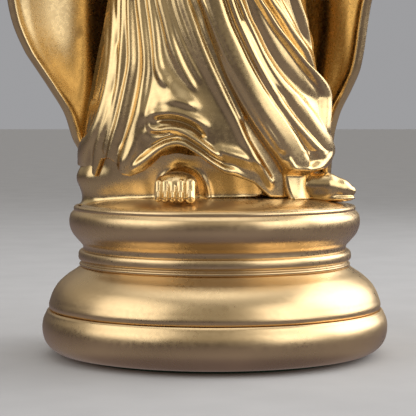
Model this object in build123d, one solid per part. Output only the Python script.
from build123d import *

import os

# Gilded devotional statue: a robed, veiled female figure on a round moulded pedestal.
#
# The statue is assembled from hollow castings. A threaded tie rod clamps the base board, the
# pedestal rings and the figure's plinth together. The clothing, head and hands are cast
# apart and bonded, and the head and hands are also pinned with dowels.
#
# Row frame, in millimetres: origin at the centre of the felt pad's underside, +Z up, and the
# figure faces -Y. Left and right in the names are the figure's own, so left is +X.

# ---------------------------------------------------------------- driving dimensions
OVERALL_H = 400.0          # felt pad to the crown of the veil
PEDESTAL_H = 58.7          # felt pad to the rim bead of the pedestal
FOOT_R = 68.0              # widest radius, on the pedestal's lowest moulding
CONTACT_R = 60.0           # outer radius of the face that meets the table

FELT_T = 1.5
BOARD_T = 12.0
BOARD_R = 55.5
BOARD_WEB = 3.0            # board left above the counterbore
REBATE_PLAY = 0.3          # room round the base board
CAVITY_R = 46.0            # hollow inside the upper pedestal rings

FOOT_RING_TOP = 17.9       # seam between foot ring and bell
BELL_TOP = 34.8            # seam between bell and neck band
BAND_TOP = 41.3            # seam between neck band and cap
RIM_DEPTH = 0.7            # the cap's top plate lies this far below its rim bead
CAP_PLATE_T = 5.0

PLINTH_R = 52.6
PLINTH_EDGE_H = 2.4
PLINTH_TOP = 61.8
PLINTH_TOP_R = 49.5

ROD_R = 3.0                # M6 tie rod
ROD_HOLE_R = 3.3
ROD_END = 3.0              # rod left proud of the upper nut
ROD_TAIL = 1.0             # rod left proud of the lower nut, above the felt
NUT_FLATS = 10.0
NUT_H = 5.0
WASHER_R = 9.0
WASHER_T = 1.6
SOCKET_PLAY = 0.05         # radial room round a rod or dowel in its threaded or glued hole

WRIST_DOWEL_R = 1.0
WRIST_DOWEL_L = 14.0
NECK_DOWEL_R = 2.0
NECK_DOWEL_L = 22.0

SHELL = 4.0                # casting wall of the clothing
HEM_Z = 72.0               # lower edge of the gown's skirt
UNDERSKIRT_TOP = 100.0
WAIST_Z = 262.0
SASH_H = 9.0
SKIRT_TOP = WAIST_Z - SASH_H / 2
NECK_Z = 341.0             # top of the bodice

# Elliptical levels of the body: height, centre x, centre y, half width, half depth.
SKIRT_LEVELS = [
    (PLINTH_TOP, -5.0, 3.0, 47.5, 31.0),
    (82.0, -5.0, 3.0, 48.0, 32.0),
    (108.0, -3.5, 3.0, 45.0, 30.0),
    (145.0, -2.0, 3.0, 39.5, 27.5),
    (195.0, -1.5, 3.0, 35.0, 25.0),
    (235.0, -0.5, 3.0, 31.0, 22.0),
    (SKIRT_TOP, 0.0, 3.0, 24.5, 18.0),
]
BODICE_LEVELS = [
    (SKIRT_TOP, 0.0, 3.0, 24.5, 18.0),
    (284.0, 0.0, 2.0, 27.0, 19.5),
    (308.0, 0.0, 1.0, 31.0, 20.5),
    (328.0, 0.0, 2.5, 30.0, 16.5),
    (NECK_Z, 0.0, 3.5, 13.0, 11.0),
]
VEIL_LEVELS = [
    (326.0, 0.0, 5.0, 41.0, 24.0),
    (342.0, 0.0, 5.0, 29.0, 23.0),
    (360.0, 0.0, 4.5, 22.5, 24.0),
    (378.0, 0.0, 4.0, 21.5, 24.5),
    (391.0, 0.0, 3.5, 16.5, 19.0),
    (OVERALL_H, 0.0, 3.0, 5.0, 6.0),
]
VEIL_T = 3.0

# Front drape levels: height, leading edge x, trailing edge x. It sweeps from the waist down
# to the figure's left foot.
DRAPE_LEVELS = [
    (PLINTH_TOP, 27.0, 40.0),
    (73.0, 24.0, 42.0),
    (88.0, 15.0, 42.5),
    (104.0, 6.0, 41.0),
    (120.0, 0.0, 32.0),
    (140.0, -6.0, 20.0),
    (170.0, -12.0, 13.0),
    (210.0, -15.0, 8.0),
    (SKIRT_TOP, -12.0, 5.0),
]
DRAPE_T = 4.5

# Mantle levels: height, right edge x and y, left edge x and y, half width and depth of the
# back, all at the outside of the sheet.
MANTLE_LEVELS = [
    (PLINTH_TOP, -47.0, 6.0, 44.0, 6.0, 44.0, 38.0),
    (88.0, -55.0, 2.0, 45.0, 2.0, 46.0, 38.5),
    (132.0, -79.0, -4.0, 61.0, -2.0, 50.0, 38.0),
    (180.0, -83.0, -10.0, 77.0, -8.0, 50.0, 37.0),
    (222.0, -80.0, -12.0, 79.0, -12.0, 49.0, 35.0),
    (262.0, -56.0, -12.0, 56.0, -12.0, 46.0, 32.0),
    (300.0, -44.0, -12.0, 44.0, -12.0, 43.0, 29.0),
    (325.0, -38.0, -8.0, 38.0, -8.0, 38.0, 26.0),
]
MANTLE_T = 4.0
WING_SEAM_X = 47.0         # planes where the mantle's wings meet its back

# The left arm's joint centres and its sleeve's radii there. The right arm mirrors it.
SHOULDER = (30.0, 3.0, 322.0)
ELBOW = (45.0, 0.0, 270.0)
CUFF = (65.0, -17.0, 234.0)
FINGERTIP = (84.0, -27.0, 203.0)
SLEEVE_RADII = (9.5, 10.5, 10.5, 11.5)

# The hand, from the wrist to the fingertips: share of its length, half width, half depth.
HAND_LEVELS = [(0.02, 4.6, 4.0), (0.30, 6.5, 4.2), (0.52, 8.0, 3.8), (0.80, 7.0, 2.8), (1.0, 3.4, 1.8)]

HEAD_CENTRE = (0.0, -3.0, 371.0)
HEAD_RADII = (15.5, 18.0, 21.0)
NECK_R = 9.0
NECK_Y = 1.5
HAIR_T = 1.5

# Feet: where the heel lies, how far the toes turn from -Y towards +X, length, width, height.
RIGHT_FOOT = (-14.5, -23.0, 0.0, 20.0, 16.0, 9.0)
LEFT_FOOT = (34.0, -8.0, 84.0, 21.0, 14.0, 9.5)

BOTTOM_UP = (Align.CENTER, Align.CENTER, Align.MIN)


# ---------------------------------------------------------------- helpers
def save(name, shape):
    """Writes one named sub-part and returns it."""
    export_step(shape, f"parts/{name}.step")
    return shape


def disc(radius, height, z=0.0):
    """A round plate standing on height z, on the statue's axis."""
    return Pos(0, 0, z) * Cylinder(radius, height, align=BOTTOM_UP)


def oval(z, cx, cy, rx, ry):
    """A horizontal ellipse, turned so that every ellipse starts on the same side."""
    if ry > rx:
        return Pos(cx, cy, z) * Ellipse(ry, rx).rotate(Axis.Z, 90)
    return Pos(cx, cy, z) * Ellipse(rx, ry)


def body_loft(levels, inset=0.0):
    """A closed solid through elliptical levels, its sides drawn in by inset."""
    return loft([oval(z, cx, cy, rx - inset, ry - inset) for z, cx, cy, rx, ry in levels])


def between(shape, low, high):
    """The part of a shape between two heights."""
    return shape & disc(300, high - low, low)


def level_at(levels, z):
    """The body's ellipse at height z, in straight steps between its levels."""
    for low, high in zip(levels, levels[1:]):
        if low[0] <= z <= high[0]:
            share = (z - low[0]) / (high[0] - low[0])
            return [a + (b - a) * share for a, b in zip(low, high)]
    return list(levels[-1])


def ring(outline):
    """A solid of revolution from a closed outline drawn in the XZ plane."""
    return revolve(make_face(outline), Axis.Z)


def on_side(point, side):
    """A point of the left arm, mirrored for the right arm where side is -1."""
    return Vector(side * point[0], point[1], point[2])


def bar(start, end, radius):
    """A round bar between two points."""
    return extrude(Plane(start, z_dir=end - start) * Circle(radius), (end - start).length)


# ---------------------------------------------------------------- pedestal
def foot_ring():
    """Lowest moulding: a round-nosed ring with a rebate for the base board."""
    groove_r = 64.8
    board_top = FELT_T + BOARD_T
    rebate_r = BOARD_R + REBATE_PLAY
    outline = Polyline((CONTACT_R, 0, 0), (rebate_r, 0, 0), (rebate_r, 0, board_top),
                       (rebate_r - 6, 0, board_top), (rebate_r + 2, 0, FOOT_RING_TOP),
                       (groove_r, 0, FOOT_RING_TOP), (groove_r, 0, FOOT_RING_TOP - 0.5),
                       (groove_r + 1.4, 0, FOOT_RING_TOP - 0.9))
    nose = Spline((groove_r + 1.4, 0, FOOT_RING_TOP - 0.9), (FOOT_R, 0, 10.5), (66.2, 0, 4.2),
                  (CONTACT_R, 0, 0))
    return ring(outline + nose)


def bell():
    """Swelling ring above the groove: round below, hollow where it runs up to the neck."""
    low, high = FOOT_RING_TOP, BELL_TOP
    skin = Spline((65.6, 0, low + 0.6), (64.5, 0, 22.5), (61.9, 0, 27.6), (57.8, 0, 31.4),
                  (54.0, 0, 34.0), (52.6, 0, high))
    inside = Polyline((52.6, 0, high), (CAVITY_R, 0, high), (CAVITY_R + 12, 0, low),
                      (64.8, 0, low), (64.8, 0, low + 0.6), (65.6, 0, low + 0.6))
    return ring(skin + inside)


def neck_band():
    """Narrow band with a bead along its lower edge."""
    low, high = BELL_TOP, BAND_TOP
    outline = Polyline((CAVITY_R, 0, low), (52.4, 0, low), (53.4, 0, low + 0.4),
                       (53.4, 0, low + 1.2), (52.5, 0, low + 1.7), (52.5, 0, low + 2.3),
                       (53.3, 0, low + 2.7))
    face_arc = ThreePointArc((53.3, 0, low + 2.7), (53.7, 0, low + 4.4), (53.1, 0, high - 0.3))
    back = Polyline((53.1, 0, high - 0.3), (52.0, 0, high), (CAVITY_R, 0, high), (CAVITY_R, 0, low))
    return ring(outline + face_arc + back)


def cap():
    """Upper moulding: a hollow under its swell, a beaded rim and a top plate for the figure."""
    low, rim = BAND_TOP, PEDESTAL_H
    plate_top = rim - RIM_DEPTH
    plate_under = plate_top - CAP_PLATE_T
    cove = Spline((51.7, 0, low), (51.9, 0, low + 1.5), (53.6, 0, low + 3.4))
    swell = Spline((53.6, 0, low + 3.4), (56.3, 0, 48.6), (57.1, 0, 52.8), (56.1, 0, 56.0),
                   (55.0, 0, 57.0))
    bead = ThreePointArc((55.0, 0, 57.0), (55.3, 0, 57.9), (54.5, 0, rim))
    inside = Polyline((54.5, 0, rim), (53.4, 0, rim - 0.1), (52.8, 0, plate_top),
                      (ROD_HOLE_R, 0, plate_top), (ROD_HOLE_R, 0, plate_under),
                      (CAVITY_R, 0, plate_under), (CAVITY_R, 0, low), (51.7, 0, low))
    return ring(cove + swell + bead + inside)


def base_board():
    """Disc that closes the hollow, counterbored from below for the tie rod's nut."""
    counterbore = disc(WASHER_R + 1, BOARD_T - BOARD_WEB, FELT_T)
    return disc(BOARD_R, BOARD_T, FELT_T) - counterbore - disc(ROD_HOLE_R, 2 * BOARD_T)


def figure_plinth():
    """Low slab under the figure, with a sloping top."""
    seat = PEDESTAL_H - RIM_DEPTH
    profile = Polyline((ROD_HOLE_R, 0, seat), (PLINTH_R, 0, seat), (PLINTH_R, 0, seat + PLINTH_EDGE_H),
                       (PLINTH_TOP_R, 0, PLINTH_TOP), (ROD_HOLE_R, 0, PLINTH_TOP), close=True)
    return ring(profile)


# ---------------------------------------------------------------- tie rod and its hardware
def hex_nut(z):
    body = Pos(0, 0, z) * extrude(RegularPolygon(NUT_FLATS / 2, 6, major_radius=False), NUT_H)
    return body - disc(ROD_R + SOCKET_PLAY, NUT_H, z)


def washer(z):
    return disc(WASHER_R, WASHER_T, z) - disc(ROD_HOLE_R, WASHER_T, z)


def save_tie_rod():
    """The rod from the nut in the base board to the nut on the plinth."""
    low_seat = FELT_T + BOARD_T - BOARD_WEB
    low_nut = low_seat - WASHER_T - NUT_H
    high_nut = PLINTH_TOP + WASHER_T
    rod_low = low_nut - ROD_TAIL
    save("bottom_washer", washer(low_seat - WASHER_T))
    save("bottom_nut", hex_nut(low_nut))
    save("top_washer", washer(PLINTH_TOP))
    save("top_nut", hex_nut(high_nut))
    save("tie_rod", disc(ROD_R, high_nut + NUT_H + ROD_END - rod_low, rod_low))


# ---------------------------------------------------------------- clothing
def underskirt():
    """Hollow hem of the tunic, which spreads where it meets the plinth."""
    tucked = SHELL + 0.8
    outer_insets = [(PLINTH_TOP, 0.0), (67.0, 2.2), (72.0, tucked), (UNDERSKIRT_TOP, tucked)]
    outer = []
    inner = []
    for z, inset in outer_insets:
        level, cx, cy, rx, ry = level_at(SKIRT_LEVELS, z)
        outer.append(oval(level, cx, cy, rx - inset, ry - inset))
        inner.append(oval(level, cx, cy, rx - 2 * SHELL, ry - 2 * SHELL))
    return loft(outer, ruled=True) - loft(inner, ruled=True)


def gown_skirt(solid):
    """Hollow skirt from the waist to its hem."""
    return between(solid - body_loft(SKIRT_LEVELS[:-1], SHELL), HEM_Z, SKIRT_TOP)


def front_drape():
    """Fold of the mantle that crosses the skirt from the waist to the left foot."""
    bite = 3.0             # how far the section starts inside the skirt, which is cut away later
    sections = []
    for z, lead, trail in DRAPE_LEVELS:
        _, cx, cy, rx, ry = level_at(SKIRT_LEVELS, z)
        outer = []
        inner = []
        for share in (0.0, 0.25, 0.5, 0.75, 1.0):
            across = (lead + (trail - lead) * share - cx) / rx
            forward = -(1 - across ** 2) ** 0.5
            outer.append((cx + (rx + DRAPE_T) * across, cy + (ry + DRAPE_T) * forward, z))
            inner.append((cx + (rx - bite) * across, cy + (ry - bite) * forward, z))
        sections.append(make_face(Polyline(outer + inner[::-1], close=True)))
    return loft(sections, ruled=True)


def mantle_outline(z, right_x, right_y, left_x, left_y, half_w, depth):
    """One closed horizontal section of the mantle: a bowed sheet with an open front."""
    t = MANTLE_T
    lip = 0.35 * t
    flank = 15.0           # how far behind its edge each wing starts to turn in
    outer = Spline((right_x, right_y, z), (right_x * 0.82, right_y + flank, z),
                   (-half_w * 0.78, depth * 0.80, z), (0, depth, z), (half_w * 0.78, depth * 0.80, z),
                   (left_x * 0.82, left_y + flank, z), (left_x, left_y, z))
    inner = Spline((left_x - lip, left_y - t * 0.2, z), (left_x * 0.80 - lip, left_y + flank - t, z),
                   (half_w * 0.74, depth * 0.80 - t, z), (0, depth - t, z),
                   (-half_w * 0.74, depth * 0.80 - t, z), (right_x * 0.80 + lip, right_y + flank - t, z),
                   (right_x + lip, right_y - t * 0.2, z))
    return make_face(outer + Line(outer @ 1, inner @ 0) + inner + Line(inner @ 1, outer @ 0))


def mantle_piece(sheet, low_x, high_x):
    """The one largest solid of the mantle between two planes across the figure."""
    keep = Pos((low_x + high_x) / 2, 0, OVERALL_H / 2) * Box(high_x - low_x, 300, OVERALL_H)
    return max((sheet & keep).solids(), key=lambda solid: solid.volume)


def veil():
    """Hood over the head and shoulders, open at the face."""
    inner = [(z - 2.0, cx, cy, rx - VEIL_T, ry - VEIL_T) for z, cx, cy, rx, ry in VEIL_LEVELS]
    arch_r, arch_z = 13.5, 381.0
    below = Pos(0, -20, arch_z - 31) * Box(2 * arch_r, 44, 62)
    above = Pos(0, -20, arch_z) * Rot(90, 0, 0) * Cylinder(arch_r, 44)
    return body_loft(VEIL_LEVELS) - body_loft(inner) - below - above


# ---------------------------------------------------------------- head, arms and feet
def skull(grow=0.0):
    return Pos(*HEAD_CENTRE) * scale(Sphere(1), tuple(r + grow for r in HEAD_RADII))


def head():
    return skull() + Pos(0, NECK_Y, NECK_Z - 2) * Cylinder(NECK_R, 20, align=BOTTOM_UP)


def hair():
    """Parted cap of hair that shows between the brow and the veil."""
    cx, cy, cz = HEAD_CENTRE
    face = Pos(cx, cy - 16, cz - 8) * Box(60, 40, 52)
    return Pos(0, 1, 1) * skull(HAIR_T) - skull() - face


def sleeve(side):
    """Arm in its wide sleeve, from the shoulder to the cuff."""
    shoulder, elbow, cuff = (on_side(p, side) for p in (SHOULDER, ELBOW, CUFF))
    upper, fore = elbow - shoulder, cuff - elbow
    planes = [Plane(shoulder, z_dir=upper), Plane(elbow, z_dir=fore), Plane(elbow + fore * 0.5, z_dir=fore),
              Plane(cuff, z_dir=fore)]
    return loft([plane * Circle(radius) for plane, radius in zip(planes, SLEEVE_RADII)])


def hand(side):
    """Open hand with the palm to the front, from inside the cuff to the fingertips."""
    wrist = on_side(CUFF, side)
    reach = on_side(FINGERTIP, side) - wrist
    across = reach.cross(Vector(0, 1, 0)).normalized()
    return loft([Plane(wrist + reach * share, x_dir=across, z_dir=reach) * Ellipse(half_w, half_d)
                 for share, half_w, half_d in HAND_LEVELS])


def wrist_pin(side, radius):
    """The dowel between cuff and hand, or its socket where the radius is larger."""
    wrist = on_side(CUFF, side)
    half = (on_side(FINGERTIP, side) - wrist).normalized() * (WRIST_DOWEL_L / 2)
    return bar(wrist - half, wrist + half, radius)


def neck_pin(radius):
    low = Vector(0, NECK_Y, NECK_Z - 2 - NECK_DOWEL_L / 2)
    return bar(low, low + Vector(0, 0, NECK_DOWEL_L), radius)


def foot(x, y, turn, length, width, height):
    """A foot as a rounded wedge that narrows and falls towards the toes."""
    shape = [(0.0, 1.0, 1.0), (0.45, 1.0, 0.85), (0.85, 0.9, 0.6), (1.0, 0.55, 0.4)]
    sections = []
    for share, wide, high in shape:
        plane = Plane((0, -share * length, height * high / 2), x_dir=(1, 0, 0), z_dir=(0, -1, 0))
        sections.append(plane * RectangleRounded(width * wide, height * high, height * high * 0.35))
    return Pos(x, y, PLINTH_TOP) * Rot(0, 0, turn) * loft(sections)


# ---------------------------------------------------------------- assembly
def save_pedestal():
    save("felt_pad", disc(BOARD_R, FELT_T))
    save("base_board", base_board())
    save("pedestal_foot_ring", foot_ring())
    save("pedestal_bell", bell())
    save("pedestal_neck_band", neck_band())
    save("pedestal_cap", cap())
    save_tie_rod()
    save("figure_plinth", figure_plinth())


def save_figure():
    skirt_solid = body_loft(SKIRT_LEVELS)
    bodice_solid = body_loft(BODICE_LEVELS)
    head_solid = head()
    hair_solid = hair() - head_solid
    drape = front_drape()
    sash_levels = [(z, 0.0, 3.0, 26.4, 19.9) for z in (SKIRT_TOP, SKIRT_TOP + SASH_H)]
    sash = body_loft(sash_levels)

    save("underskirt", underskirt())
    save("gown_skirt", gown_skirt(skirt_solid))
    save("waist_sash", sash - bodice_solid)
    save("bodice", bodice_solid - neck_pin(NECK_DOWEL_R + SOCKET_PLAY))
    save("neck_dowel", neck_pin(NECK_DOWEL_R))
    save("head", head_solid - bodice_solid - neck_pin(NECK_DOWEL_R + SOCKET_PLAY))
    save("hair", hair_solid)
    veil_solid = save("veil", veil() - bodice_solid - head_solid - hair_solid)
    save("mantle_front_drape", drape - skirt_solid - sash)

    worn = bodice_solid + skirt_solid + sash + veil_solid
    sheet = loft([mantle_outline(*level) for level in MANTLE_LEVELS]) - worn - drape
    for side, name in ((-1, "right"), (1, "left")):
        arm = sleeve(side)
        socket = wrist_pin(side, WRIST_DOWEL_R + SOCKET_PLAY)
        save(f"{name}_wrist_dowel", wrist_pin(side, WRIST_DOWEL_R))
        save(f"{name}_sleeve", arm - worn - socket)
        save(f"{name}_hand", hand(side) - arm - socket)
        sheet = sheet - arm - hand(side)
    save("mantle_back", mantle_piece(sheet, -WING_SEAM_X, WING_SEAM_X))
    save("mantle_right_wing", mantle_piece(sheet, -WING_SEAM_X - 60, -WING_SEAM_X))
    save("mantle_left_wing", mantle_piece(sheet, WING_SEAM_X, WING_SEAM_X + 60))

    save("right_foot", foot(*RIGHT_FOOT) - skirt_solid)
    save("left_foot", foot(*LEFT_FOOT) - skirt_solid - drape - sheet)


os.makedirs("parts", exist_ok=True)
save_pedestal()
save_figure()
